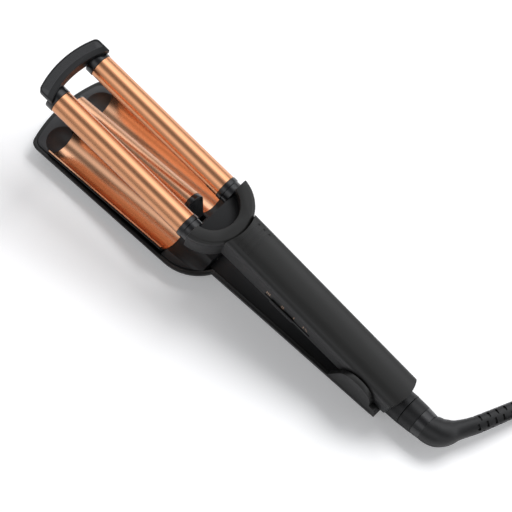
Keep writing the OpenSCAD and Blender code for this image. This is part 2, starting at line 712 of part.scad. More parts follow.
// Plan of the tip bridge: a band between two arcs, its corners rounded.
module bridge_plan(inset = 0, depth = bridge_depth) {
    half = bridge_w / 2 - inset;
    big = bridge_arc_r - inset;
    small = bridge_arc_r - depth;
    c = 4;
    lean = asin((half - c) / (big - c));
    fx = bridge_cx + (big - c) * cos(lean);
    turn = asin(half / small);
    polygon(concat(arc(fx, c - half, c, -90, -lean, 5), arc(bridge_cx, 0, big, -lean, lean, 16),
        arc(fx, half - c, c, lean, 90, 5), arc(bridge_cx, 0, small, turn, -turn, 16)));
}
// The bridge's ends, seen from the tip: upright down to the lip, then sloping in.
module bridge_section() {
    half = bridge_w / 2;
    polygon([[-half, bridge_top + cut], [half, bridge_top + cut], [half, bridge_lip],
        [half - bridge_taper, bridge_low], [bridge_taper - half, bridge_low], [-half, bridge_lip]]);
}
tip_seat_x = barrel_end + tip_collar_len + seat;
screw_deep = 4.4;
bridge_screw_r = 1.2;
module tip_bridge() color([0.1, 0.1, 0.11]) arm() difference() {
    union() {
        intersection() {
            up(bridge_low, bridge_top) bridge_plan();
            run(barrel_end, bridge_end + cut) bridge_section();
        }
        both_sides() translate([0, trough_y, barrel_lift])
            rod(tip_seat_x, tip_seat_x + screw_deep + 1.4, bridge_boss_r);
    }
    up(bridge_top - pad_t - pad_sunk, bridge_top + cut) bridge_plan(pad_rim, pad_depth);
    both_sides() translate([0, trough_y, barrel_lift]) {
        rod(barrel_end - cut, tip_seat_x, collar_d / 2 + seat);
        rod(barrel_end, tip_seat_x + screw_deep, bridge_screw_r);
    }
}
module bridge_pad() color([0.13, 0.13, 0.14]) arm()
    up(bridge_top - pad_t - pad_sunk + seat, bridge_top - pad_sunk)
        bridge_plan(pad_rim + seat, pad_depth - seat);
module bridge_screws() color([0.5, 0.5, 0.52]) both_barrels()
    rod(tip_seat_x, tip_seat_x + screw_deep - seat, bridge_screw_r - seat);
module both_barrels() for (s = [-1, 1]) at_barrel(s) children();

rod_heater_x = barrel_start + rod_heater_in;
module barrel_heater(s) color([0.8, 0.8, 0.82]) at_barrel(s)
    box(rod_heater_x, rod_heater_x + heater_len, -heater_w / 2, heater_w / 2, -2.5, 2.5);
module left_heater() barrel_heater(1);
module right_heater() barrel_heater(-1);
module heater_clips() color([0.6, 0.62, 0.65]) both_barrels() for (k = [-1, 1]) scale([1, 1, k])
    difference() {
        rod(rod_heater_x + 4, rod_heater_x + heater_len - 4, barrel_d / 2 - barrel_wall - 0.1);
        difference() {
            rod(rod_heater_x, rod_heater_x + heater_len, barrel_d / 2 - barrel_wall - 0.9);
            box(0, barrel_end, -barrel_d, barrel_d, 2.5 + seat, 2.5 + clip_t);
        }
        box(0, barrel_end, -barrel_d, barrel_d, -barrel_d, 2.5 + seat);
    }
module upper_thermal_fuse() color([0.85, 0.8, 0.6]) both_barrels()
    translate([rod_heater_x + heater_len + slack, 0, 0]) rod(0, fuse_len, fuse_r);

board_y = upper_w / 2 - frame_wall - seat;
board_t = 1.6;
// Housings on the board: distance from its tail, length, two sides and height.
chips = [[68, 18, -8, 6, 4], [12, 8, -9, -1, 3]];
can_r = 3.5;
module control_board() color([0.1, 0.35, 0.2]) arm() {
    box(board_x0, board_x1, -board_y, board_y, rail_h + seat, rail_h + board_t);
    for (c = chips) box(board_x0 + c[0], board_x0 + c[0] + c[1], c[2], c[3], rail_h + board_t,
        rail_h + board_t + c[4]);
    translate([board_x0 + 30, -6, 0]) up(rail_h + board_t, rail_h + board_t + can_r) circle(can_r);
}
switch_w = 6;
module slide_switch() color([0.1, 0.1, 0.1]) arm() difference() {
    box(knob_x - slide_tail - 6, knob_x + slide_tip + 6, board_y - switch_w - 3, board_y - 3.5,
        knob_z - 2.4, rail_h);
    box(knob_x - slide_tail - 4, knob_x + slide_tip + 4, board_y - switch_w, board_y,
        knob_z - 1.6, knob_z + 1.6);
}
module indicator_lamp() color([0.9, 0.3, 0.2]) arm()
    translate([board_x1 - 10, board_y - 3.85, rail_h + board_t]) up(0, 3) circle(1.5);
lead_y = -9.6;
lead_pitch = 1.6;
lead_start = 14;
module upper_leads() color([0.75, 0.72, 0.66]) arm() for (i = [0:3])
    translate([0, lead_y + i * lead_pitch, 0]) rod(lead_start, yoke_front - 4 - slack, lead_r);
module upper_screws() color([0.5, 0.5, 0.52]) arm() for (x = upper_screw_places)
    translate([x, 0, frame_edge(x) + 0.1]) {
        cylinder(h = 0.7, r = screw_head_r);
        cylinder(h = 9, r = screw_r);
    }

module temp_slider() color([0.2, 0.2, 0.21]) arm() {
    box(knob_x - knob_len / 2, knob_x + knob_len / 2, upper_w / 2 + slack, upper_w / 2 + slack + knob_t,
        knob_z - knob_h / 2, knob_z + knob_h / 2);
    box(knob_x - stem_len / 2, knob_x + stem_len / 2, board_y - 4.5, upper_w / 2 + slack + seat,
        knob_z - slot_h / 2, knob_z + slot_h / 2);
}

// ---- swivel and cord -----------------------------------------------------------------------

turn_x = neck_end + slack;
gloss_x = turn_x + turn_len;
boot_x = gloss_x + gloss_len;
clip_x = neck_wall_x - slack;
clip_wide = 1.3;
groove_r = journal_r - 1.7;
spindle_r = 4.4;
ring_r = 6.2;
module swivel_axis() tool() translate([0, 0, swivel_z]) rotate([0, 180, 0]) children();
module swivel_barrel() color([0.15, 0.15, 0.16]) swivel_axis() difference() {
    union() {
        rod(turn_x, gloss_x, neck_r - 0.1, turn_r);
        rod(20, turn_x + cut, journal_r);
        rod(10.5, 20 + cut, spindle_r);
    }
    rod(0, gloss_x + cut, 2.5);
    pipe(clip_x - clip_wide, clip_x, journal_r + cut, groove_r);
}
module swivel_clip() color([0.7, 0.7, 0.72]) swivel_axis()
    pipe(clip_x - clip_wide + seat, clip_x - seat, journal_r + 1.4, groove_r + seat);
module swivel_collar() color([0.2, 0.2, 0.21]) swivel_axis() difference() {
    rod(gloss_x + seat, boot_x, turn_r, elbow_r);
    rod(0, boot_x + cut, 5);
}
module slip_rings() color([0.85, 0.7, 0.35]) swivel_axis() for (x = [11.5, 15.5])
    pipe(x, x + 2.2, ring_r, spindle_r + seat);

// Frame at each route point, and the tube swept through them.
function unit(v) = v / norm(v);
function heading(p, i) = unit(p[min(i + 1, len(p) - 1)] - p[max(i - 1, 0)]);
function ring_at(p, i, r, n) = let (d = heading(p, i), s = unit(cross([0, 0, 1], d)), u = cross(d, s))
    [for (k = [0:n - 1]) p[i] + r * (cos(360 * k / n) * s + sin(360 * k / n) * u)];
module sweep(p, r, n) {
    m = len(p);
    pts = [for (i = [0:m - 1]) each ring_at(p, i, r[i], n)];
    sides = [for (i = [0:m - 2], k = [0:n - 1])
        [i * n + k, i * n + (k + 1) % n, (i + 1) * n + (k + 1) % n, (i + 1) * n + k]];
    polyhedron(pts, concat([[for (k = [n - 1:-1:0]) k]], sides, [[for (k = [0:n - 1]) (m - 1) * n + k]]),
        convexity = 6);
}
function even(n, r) = [for (i = [1:n]) r];

// The boot's centre line and radii, from the swivel to the cord.
boot_line = [[boot_x, 0, swivel_z], [boot_x + 2, 0, swivel_z], [61, 0.7, swivel_z], [64, 2.2, swivel_z],
    [67.5, 5, 15.7], [70.5, 8.8, 15.6], [73.2, 13, 15.5], [77, 19.3, 15.2], [80.6, 26, 14.9],
    [85, 36.5, 14.2], [89, 46.5, 13.2], [92, 54.5, 12.1], [95, 62.5, 10.8], [97, 67.8, 9.8],
    [98.6, 72.1, 8.7]];
boot_radii = [elbow_r, elbow_r, 11.2, 11.2, 10.4, 9.2, 7.6, 6.9, 6.7, 6.5, 6.3, 6.1, 5.7, 5.2, 4.4];
module cord_boot() color([0.05, 0.05, 0.055]) sweep(boot_line, boot_radii, 24);

// The cord from the boot to its coil, and from the coil to the plug.
cord_line = [[98, 70.5, 9.1], [101, 76.2, 7.4], [104.2, 81.2, 5.7], [107.2, 86.4, 4.3], [109.3, 90.8, 3.4],
    [111, 95.6, 3]];
coil_x = 156;
coil_y = 79;
coil_in = 21;
coil_out = 51;
coil_h = 2 * cord_d;
tail_line = [[152, 122, 9.5], [159, 122, 11.5], [166, 119.5, 13.8], [171.5, 115, 16], [175.5, 109, 18],
    [178, 102.5, 18.9], [179, 98, 18.9], [179, 95, 18.9]];
module cord_tube() color([0.04, 0.04, 0.045]) sweep(cord_line, even(len(cord_line), cord_d / 2), 8);
module cord_tail() color([0.04, 0.04, 0.045]) sweep(tail_line, even(len(tail_line), cord_d / 2), 8);
module cord_coil() color([0.04, 0.04, 0.045]) translate([coil_x, coil_y, 0]) rotate_extrude($fn = 72)
    translate([coil_in, 0]) square([coil_out - coil_in, coil_h]);
tie_t = 0.6;
module cord_tie() color([0.1, 0.1, 0.11]) translate([coil_x, coil_y, 0]) rotate([0, 0, 200]) difference() {
    box(coil_in - tie_t - seat, coil_out + tie_t + seat, -4, 4, 0, coil_h + tie_t + seat);
    box(coil_in - seat, coil_out + seat, -5, 5, -cut, coil_h + seat);
}
plug_x = 179;
plug_y = 98;
plug_z = coil_h + plug_h / 2 + seat;
plug_relief = 14;
pin_len = 19;
pin_pitch = 18.6;
pin_r = 2;
module at_plug() translate([plug_x, plug_y, plug_z]) rotate([0, 0, -90]) children();
module plug_body() color([0.05, 0.05, 0.055]) at_plug() {
    rod(0, plug_relief, cord_d / 2 + 0.8, cord_d / 2 + 2.2);
    up(-plug_h / 2, plug_h / 2) polygon([[plug_relief, -6], [plug_relief + 12, -plug_w / 2],
        [plug_relief + plug_len, -plug_w / 2], [plug_relief + plug_len, plug_w / 2],
        [plug_relief + 12, plug_w / 2], [plug_relief, 6]]);
}
module plug_pins() color([0.8, 0.8, 0.82]) at_plug() for (s = [-1, 1]) translate([0, s * pin_pitch / 2, 0])
    rod(plug_relief + plug_len, plug_relief + plug_len + pin_len, pin_r);

lower_shell();
root_block();
tip_block();
wave_plate();
ridge_root_cap();
ridge_tip_cap();
plate_cradle();
ridge_heater();
ridge_heater_clip();
trough_heaters();
lower_thermal_fuse();
lower_leads();
channel_cover();
lower_screws();
hinge_pin();
return_spring();
swivel_neck();
contact_block();
upper_shell();
upper_frame();
yoke_cover();
barrel_mount();
left_barrel();
right_barrel();
left_root_collar();
right_root_collar();
left_tip_collar();
right_tip_collar();
tip_bridge();
bridge_pad();
bridge_screws();
left_heater();
right_heater();
heater_clips();
upper_thermal_fuse();
control_board();
slide_switch();
indicator_lamp();
upper_leads();
upper_screws();
temp_slider();
swivel_barrel();
swivel_collar();
swivel_clip();
slip_rings();
cord_boot();
cord_tube();
cord_coil();
cord_tail();
cord_tie();
plug_body();
plug_pins();
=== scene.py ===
"""Looks of a hair waver: twin copper barrels over a waved plate, moulded handles, swivel cord.

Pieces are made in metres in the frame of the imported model; sizes are given in millimetres and
degrees unless they say otherwise. Each sub-assembly is a class that builds its own meshes and
dresses them, and main() builds them in order.
"""

import logging
import math
from dataclasses import dataclass, field
from enum import Enum

import bmesh
import bpy
from mathutils import Matrix, Vector


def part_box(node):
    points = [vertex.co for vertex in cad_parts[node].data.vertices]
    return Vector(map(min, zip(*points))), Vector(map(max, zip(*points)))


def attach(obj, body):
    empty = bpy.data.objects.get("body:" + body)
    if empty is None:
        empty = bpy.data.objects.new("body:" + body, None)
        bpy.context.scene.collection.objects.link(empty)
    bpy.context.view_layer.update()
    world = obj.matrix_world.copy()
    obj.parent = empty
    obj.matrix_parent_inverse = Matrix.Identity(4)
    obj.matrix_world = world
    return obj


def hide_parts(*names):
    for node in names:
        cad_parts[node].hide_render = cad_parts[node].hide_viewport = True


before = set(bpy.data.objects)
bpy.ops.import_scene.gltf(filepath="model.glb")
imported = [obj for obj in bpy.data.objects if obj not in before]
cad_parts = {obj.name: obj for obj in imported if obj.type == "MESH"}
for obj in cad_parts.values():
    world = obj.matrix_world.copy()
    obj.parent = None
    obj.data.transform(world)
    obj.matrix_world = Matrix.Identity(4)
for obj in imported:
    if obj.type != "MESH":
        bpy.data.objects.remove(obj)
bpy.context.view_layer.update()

logging.basicConfig(level=logging.INFO, format="%(message)s")
log = logging.getLogger("hair_waver")

Value = bpy.types.NodeSocket | float  # what feeds an input of a shader node

MM = 0.001  # a millimetre in metres
HINGE_Z = 31.5  # height of the hinge over the table
REST_ANGLE = 10.75  # rise of the open upper arm
CLOSE_ANGLE = 3.25  # fall of the closed one, which the waved plate lies along
BARREL_Y = 20.9  # distance of a barrel, and of its trough, from the middle
BARREL_H = 4.1  # height of the barrels' centres over the hinge, across the arm


class Part(Enum):
    """The moving bodies of the waver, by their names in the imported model."""

    LOWER = "lower_arm"
    UPPER = "upper_arm"
    SLIDER = "slider"
    CORD = "cord"


def arm_frame() -> Matrix:
    """Frame of the open upper arm: x from the hinge to the tip, y to its left, z up, in mm."""
    return (
        Matrix.Scale(MM, 4)
        @ Matrix.Rotation(math.pi, 4, "Z")
        @ Matrix.Translation((0, 0, HINGE_Z))
        @ Matrix.Rotation(math.radians(-REST_ANGLE), 4, "Y")
    )


def closed_frame() -> Matrix:
    """Frame of the waved plate, tilted as the closed upper arm is, in mm."""
    return (
        Matrix.Scale(MM, 4)
        @ Matrix.Rotation(math.pi, 4, "Z")
        @ Matrix.Translation((0, 0, HINGE_Z))
        @ Matrix.Rotation(math.radians(CLOSE_ANGLE), 4, "Y")
    )


# ---- finishes ------------------------------------------------------------------------------


def new_group(name: str, inputs: dict[str, float], outputs: list[str]) -> bpy.types.NodeTree:
    """Makes an empty shader node group.

    Args:
        name: the group's name.
        inputs: float inputs and their defaults.
        outputs: float outputs.

    Returns:
        The group, with its Group Input and Group Output nodes in place.
    """
    group = bpy.data.node_groups.new(name, "ShaderNodeTree")
    for key, value in inputs.items():
        socket = group.interface.new_socket(name=key, in_out="INPUT", socket_type="NodeSocketFloat")
        socket.default_value = value
    for key in outputs:
        group.interface.new_socket(name=key, in_out="OUTPUT", socket_type="NodeSocketFloat")
    group.nodes.new("NodeGroupInput")
    group.nodes.new("NodeGroupOutput")
    return group


def maths(tree: bpy.types.NodeTree, kind: str, a: Value, b: Value = 0.0) -> bpy.types.NodeSocket:
    """Adds a Math node.

    Args:
        tree: the tree that gets the node.
        kind: its operation.
        a: a socket or a number.
        b: a socket or a number.

    Returns:
        The node's output.
    """
    node = tree.nodes.new("ShaderNodeMath")
    node.operation = kind
    for slot, value in zip(node.inputs, (a, b)):
        if isinstance(value, (int, float)):
            slot.default_value = value
        else:
            tree.links.new(value, slot)
    return node.outputs[0]


def noise(
    tree: bpy.types.NodeTree, where: bpy.types.NodeSocket, scale: Value, detail: float
) -> bpy.types.NodeSocket:
    """Adds a noise texture, centred on zero.

    Args:
        tree: the tree that gets it.
        where: the coordinates' socket.
        scale: its scale, a socket or a number.
        detail: its octaves.

    Returns:
        The noise less a half.
    """
    node = tree.nodes.new("ShaderNodeTexNoise")
    node.inputs["Detail"].default_value = detail
    tree.links.new(where, node.inputs["Vector"])
    if isinstance(scale, (int, float)):
        node.inputs["Scale"].default_value = scale
    else:
        tree.links.new(scale, node.inputs["Scale"])
    return maths(tree, "SUBTRACT", node.outputs[0], 0.5)


def moulded_grain() -> bpy.types.NodeTree:
    """Fine spark-eroded grain with slow patches of handling sheen, in object coordinates."""
    name = "moulded grain"
    if name in bpy.data.node_groups:
        return bpy.data.node_groups[name]
    group = new_group(name, {"Grains per m": 4000.0, "Patches per m": 30.0}, ["Height", "Sheen"])
    give, take = group.nodes["Group Input"], group.nodes["Group Output"]
    where = group.nodes.new("ShaderNodeTexCoord").outputs["Object"]
    fine = noise(group, where, give.outputs["Grains per m"], 2.0)
    slow = noise(group, where, give.outputs["Patches per m"], 3.0)
    group.links.new(fine, take.inputs["Height"])
    group.links.new(slow, take.inputs["Sheen"])
    return group


def drawn_lines() -> bpy.types.NodeTree:
    """Faint lines on a coated metal part, with slow patches, in object coordinates."""
    name = "drawn lines"
    if name in bpy.data.node_groups:
        return bpy.data.node_groups[name]
    inputs = {"Lines per m": 3000.0, "Stretch along": 40.0, "Stretch round": 1.0, "Patches per m": 55.0}
    group = new_group(name, inputs, ["Height", "Sheen"])
    give, take = group.nodes["Group Input"], group.nodes["Group Output"]
    where = group.nodes.new("ShaderNodeTexCoord").outputs["Object"]
    split = group.nodes.new("ShaderNodeSeparateXYZ")
    join = group.nodes.new("ShaderNodeCombineXYZ")
    group.links.new(where, split.inputs[0])
    for axis, stretch in (("X", "Stretch along"), ("Y", "Stretch round"), ("Z", "Stretch round")):
        stretched = maths(group, "DIVIDE", split.outputs[axis], give.outputs[stretch])
        group.links.new(stretched, join.inputs[axis])
    lines = noise(group, join.outputs[0], give.outputs["Lines per m"], 2.0)
    slow = noise(group, where, give.outputs["Patches per m"], 2.0)
    group.links.new(lines, take.inputs["Height"])
    group.links.new(slow, take.inputs["Sheen"])
    return group


class Surface(Enum):
    """How a surface is worked, which gives its fine relief."""

    MOULDED = "grain"
    DRAWN = "lines along the arms"
    TURNED = "faint rings round the arms"


BUMP_STRENGTH = 0.6
RING_STRETCH = 60.0  # how far a turned part's lines are drawn out round the arms


@dataclass(frozen=True)
class Finish:
    """One finish of the waver.

    Attributes:
        name: the material's name.
        colour: its linear base colour.
        roughness: its mean roughness.
        metallic: 0 for plastic, 1 for metal.
        surface: how it is worked.
        scale: grains or lines per metre.
        relief: depth of the grain in metres.
        sheen: how far the patches move the roughness.
        coat: weight of a clear coat.
        coat_roughness: that coat's roughness.
        specular: specular level.
    """

    name: str
    colour: tuple[float, float, float]
    roughness: float
    metallic: float = 0.0
    surface: Surface = Surface.MOULDED
    scale: float = 3500.0
    relief: float = 0.00003
    sheen: float = 0.1
    coat: float = 0.0
    coat_roughness: float = 0.1
    specular: float = 0.5

    def material(self) -> bpy.types.Material:
        """Makes the material once, and returns it."""
        name = f"{self.name}_finish"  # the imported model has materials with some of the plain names
        if name in bpy.data.materials:
            return bpy.data.materials[name]
        mat = bpy.data.materials.new(name)
        mat.use_nodes = True
        tree = mat.node_tree
        shader = tree.nodes["Principled BSDF"]
        shader.inputs["Base Color"].default_value = (*self.colour, 1.0)
        shader.inputs["Metallic"].default_value = self.metallic
        shader.inputs["Coat Weight"].default_value = self.coat
        shader.inputs["Coat Roughness"].default_value = self.coat_roughness
        shader.inputs["Specular IOR Level"].default_value = self.specular
        worked = tree.nodes.new("ShaderNodeGroup")
        worked.node_tree = moulded_grain() if self.surface is Surface.MOULDED else drawn_lines()
        worked.inputs[0].default_value = self.scale
        if self.surface is Surface.TURNED:
            worked.inputs["Stretch along"].default_value = 1.0
            worked.inputs["Stretch round"].default_value = RING_STRETCH
        patches = maths(tree, "MULTIPLY", worked.outputs["Sheen"], self.sheen)
        tree.links.new(maths(tree, "ADD", patches, self.roughness), shader.inputs["Roughness"])
        bump = tree.nodes.new("ShaderNodeBump")
        bump.inputs["Distance"].default_value = self.relief
        bump.inputs["Strength"].default_value = BUMP_STRENGTH
        tree.links.new(worked.outputs["Height"], bump.inputs["Height"])
        tree.links.new(bump.outputs[0], shader.inputs["Normal"])
        return mat


SOFT_BLACK = Finish("soft_touch_black", (0.0085, 0.0083, 0.0078), 0.42, specular=0.45, relief=0.00002)
DARK_GREY = Finish("satin_dark_grey", (0.017, 0.017, 0.0175), 0.4, specular=0.32, relief=0.00002)
TIP_GREY = Finish("satin_tip_grey", (0.04, 0.04, 0.042), 0.42, specular=0.35, relief=0.00002)
MATT_BLACK = Finish("moulded_black", (0.0065, 0.0065, 0.007), 0.42, specular=0.36)
GLOSS_BLACK = Finish("gloss_black", (0.005, 0.005, 0.006), 0.24, sheen=0.06, relief=0.000005, coat=0.25)
COPPER = Finish(
    "copper_barrel", (0.84, 0.40, 0.21), 0.25, metallic=1.0, surface=Surface.TURNED, scale=3800.0,
    relief=0.000004, sheen=0.05,
)
PLATE_COPPER = Finish(
    "copper_plate", (0.74, 0.40, 0.24), 0.27, metallic=1.0, surface=Surface.DRAWN, scale=2500.0,
    relief=0.000002, sheen=0.03,
)
STEEL = Finish("spring_steel", (0.55, 0.55, 0.57), 0.32, metallic=1.0, surface=Surface.DRAWN)
ALLOY = Finish("heater_alloy", (0.7, 0.7, 0.72), 0.4, metallic=1.0, surface=Surface.DRAWN)
BRASS = Finish("contact_brass", (0.72, 0.52, 0.22), 0.3, metallic=1.0, surface=Surface.DRAWN)
FUSE = Finish("fuse_sleeve", (0.75, 0.7, 0.52), 0.35)
LEAD = Finish("woven_sleeve", (0.68, 0.65, 0.58), 0.8, scale=6000.0, relief=0.0002)
NATURAL = Finish("natural_plastic", (0.7, 0.68, 0.6), 0.5)
BOARD = Finish("circuit_board", (0.03, 0.16, 0.07), 0.35)
LENS = Finish("lamp_lens", (0.6, 0.08, 0.04), 0.2, coat=0.5)
RUBBER = Finish("cord_rubber", (0.007, 0.007, 0.0075), 0.38, specular=0.45, scale=5000.0, sheen=0.12)
NICKEL = Finish("bright_plate", (0.75, 0.73, 0.7), 0.18, metallic=1.0, surface=Surface.DRAWN, sheen=0.05)
PAD_GREY = Finish("pad_grey", (0.04, 0.04, 0.042), 0.5, specular=0.4)
TIE = Finish("woven_tie", (0.012, 0.012, 0.013), 0.85, scale=2500.0, relief=0.00015)
PRINT = Finish("bronze_print", (0.70, 0.45, 0.31), 0.5)

CAD_FINISHES: dict[Finish, list[str]] = {
    SOFT_BLACK: ["lower_shell", "upper_shell", "yoke_cover"],
    DARK_GREY: ["upper_frame", "swivel_collar"],
    TIP_GREY: ["tip_block"],
    MATT_BLACK: [
        "tip_bridge", "barrel_mount", "plate_cradle", "channel_cover", "swivel_neck", "swivel_barrel",
        "temp_slider", "slide_switch", "bridge_pad", "root_block",
    ],
    GLOSS_BLACK: [
        "left_root_collar", "right_root_collar", "left_tip_collar", "right_tip_collar",
        "ridge_root_cap", "ridge_tip_cap",
    ],
    COPPER: ["left_barrel", "right_barrel"],
    PLATE_COPPER: ["wave_plate"],
    ALLOY: ["ridge_heater", "trough_heaters", "left_heater", "right_heater"],
    STEEL: [
        "ridge_heater_clip", "heater_clips", "return_spring", "hinge_pin", "lower_screws", "upper_screws",
        "bridge_screws", "swivel_clip",
    ],
    FUSE: ["lower_thermal_fuse", "upper_thermal_fuse"],
    LEAD: ["lower_leads", "upper_leads"],
    NATURAL: ["contact_block"],
    BOARD: ["control_board"],
    LENS: ["indicator_lamp"],
    BRASS: ["slip_rings"],
    RUBBER: ["cord_boot", "cord_tube", "cord_coil", "cord_tail", "plug_body", "cord_tie"],
    NICKEL: ["plug_pins"],
}


# ---- mesh helpers --------------------------------------------------------------------------

SAME_PLACE = 1e-6  # m; corners as near as this are one corner
SEAM = 1e-4  # mm; a lathe's first and last corners are as near as this
FLAT = 0.5  # degrees; faces that turn less than this are one face


def paint(obj: bpy.types.Object, finish: Finish) -> None:
    """Gives obj one finish in place of whatever it has."""
    obj.data.materials.clear()
    obj.data.materials.append(finish.material())


def smooth_by_angle(bm: bmesh.types.BMesh, limit: float) -> None:
    """Shades bm smooth, apart from its edges that turn more than limit degrees."""
    for face in bm.faces:
        face.smooth = True
    for edge in bm.edges:
        edge.smooth = len(edge.link_faces) == 2 and edge.calc_face_angle(0.0) < math.radians(limit)


def add_piece(
    name: str, bm: bmesh.types.BMesh, finish: Finish, part: Part, limit: float = 35.0
) -> bpy.types.Object:
    """Turns bm into a piece of the waver.

    Args:
        name: the piece's name.
        bm: its mesh in metres; it is freed.
        finish: its finish.
        part: the body that it rides on.
        limit: edges that turn more than this many degrees are shaded sharp.

    Returns:
        The new object.
    """
    smooth_by_angle(bm, limit)
    mesh = bpy.data.meshes.new(name)
    bm.to_mesh(mesh)
    bm.free()
    obj = bpy.data.objects.new(name, mesh)
    bpy.context.scene.collection.objects.link(obj)
    paint(obj, finish)
    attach(obj, part.value)
    return obj


def merged_copy(node: str) -> bmesh.types.BMesh:
    """A copy of a CAD node's mesh, in metres, with the corners that share a place merged."""
    bm = bmesh.new()
    bm.from_mesh(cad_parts[node].data)
    bmesh.ops.remove_doubles(bm, verts=bm.verts, dist=SAME_PLACE)
    return bm


def rounded(node: str, width: float, limit: float = 32.0, steps: int = 3) -> bmesh.types.BMesh:
    """A copy of a CAD node's mesh with its edges rounded.

    Args:
        node: the CAD node.
        width: width of the rounding in mm.
        limit: edges that turn more than this many degrees are rounded.
        steps: segments of the rounding.

    Returns:
        The new mesh, in metres.
    """
    bm = merged_copy(node)
    bmesh.ops.dissolve_limit(bm, angle_limit=math.radians(FLAT), verts=bm.verts, edges=bm.edges)
    turning = math.radians(limit)
    sharp = [e for e in bm.edges if len(e.link_faces) == 2 and e.calc_face_angle(0.0) > turning]
    bmesh.ops.bevel(
        bm, geom=sharp, offset=width * MM, offset_type="OFFSET", segments=steps, profile=0.5,
        affect="EDGES", clamp_overlap=True, material=-1,
    )
    return bm


def softened(node: str, name: str, finish: Finish, part: Part, width: float) -> None:
    """Stands in for a CAD node with the same shape and rounded edges.

    Args:
        node: the CAD node.
        name: the new piece's name.
        finish: its finish.
        part: the body that it rides on.
        width: width of the rounding in mm.
    """
    obj = add_piece(name, rounded(node, width), finish, part, limit=40.0)
    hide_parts(node)


def lathe(
    bm: bmesh.types.BMesh, profile: list[tuple[float, float]], place: Matrix, steps: int = 96
) -> None:
    """Spins a closed profile about an axis.

    Args:
        bm: the mesh that it goes into, in metres.
        profile: points (x, radius) in mm, the first one repeated at the end.
        place: frame in mm whose x axis is the axis.
        steps: faces round the axis.
    """
    verts = [bm.verts.new(Vector((x, r, 0.0))) for x, r in profile]
    edges = [bm.edges.new(pair) for pair in zip(verts, verts[1:])]
    bmesh.ops.spin(
        bm, geom=verts + edges, cent=(0, 0, 0), axis=(1, 0, 0), angle=2 * math.pi, steps=steps,
        use_merge=True,
    )
    bmesh.ops.remove_doubles(bm, verts=bm.verts, dist=SEAM)
    bmesh.ops.recalc_face_normals(bm, faces=bm.faces)
    bmesh.ops.transform(bm, matrix=place, verts=bm.verts)


def in_metres(line: list[tuple[float, float, float]]) -> list[Vector]:
    """Points given in mm, in metres."""
    return [Vector(p) * MM for p in line]


# ---- sub-assemblies ------------------------------------------------------------------------


RAMP_TOP = 2.0  # brightness at the colour ramp's white


